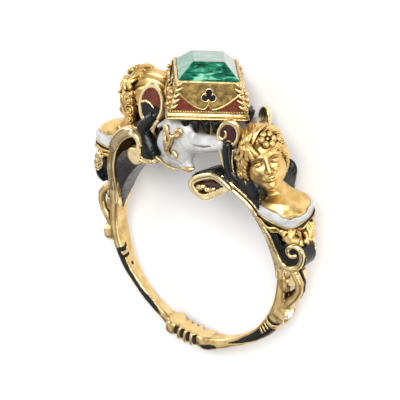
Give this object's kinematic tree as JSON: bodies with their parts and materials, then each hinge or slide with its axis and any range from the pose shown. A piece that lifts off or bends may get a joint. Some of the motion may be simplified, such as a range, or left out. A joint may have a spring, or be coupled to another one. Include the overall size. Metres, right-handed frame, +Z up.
{
  "type": "emerald finger ring",
  "caption": "Renaissance-style enamelled gold finger ring: table-cut emerald in a square box bezel carried by two female busts and scrolled shoulders.",
  "frame": {"origin": "middle of the footprint of the ring's box, on the surface it lies on", "axes": "+Z up from the surface, +Y from the bottom of the shank towards the emerald, +X towards the right bust; the finger hole's axis leans 8.1 degrees from the vertical"},
  "size_m": [0.0228, 0.0276, 0.009],
  "materials": {
    "gold": "chased and polished high-carat gold, dark in the recesses",
    "emerald": "polished table cut with fine inclusions",
    "black_enamel": "glossy opaque enamel",
    "red_enamel": "glossy translucent enamel over gold",
    "white_enamel": "opaque enamel, a little worn",
    "pale_stone": "polished small stone"
  },
  "bodies": {
    "root": {"hoop": "gold", "bezel": "gold", "emerald": "emerald", "bust_left": "gold", "bust_right": "gold", "bodice_left": "white_enamel", "bodice_right": "white_enamel", "cartouche_front": "white_enamel", "cartouche_back": "white_enamel", "side_enamel_left_front": "black_enamel", "side_enamel_left_back": "black_enamel", "side_enamel_right_front": "black_enamel", "side_enamel_right_back": "black_enamel", "finger_enamel_left": "black_enamel", "finger_enamel_right": "black_enamel", "bezel_enamel_a": "red_enamel", "bezel_enamel_b": "red_enamel", "bezel_enamel_c": "red_enamel", "bezel_enamel_d": "red_enamel", "ear_enamel_left_front": "red_enamel", "ear_enamel_left_back": "red_enamel", "ear_enamel_right_front": "red_enamel", "ear_enamel_right_back": "red_enamel", "collar_enamel": "black_enamel", "gem_left": "pale_stone", "gem_right": "pale_stone"}
  },
  "joints": []
}
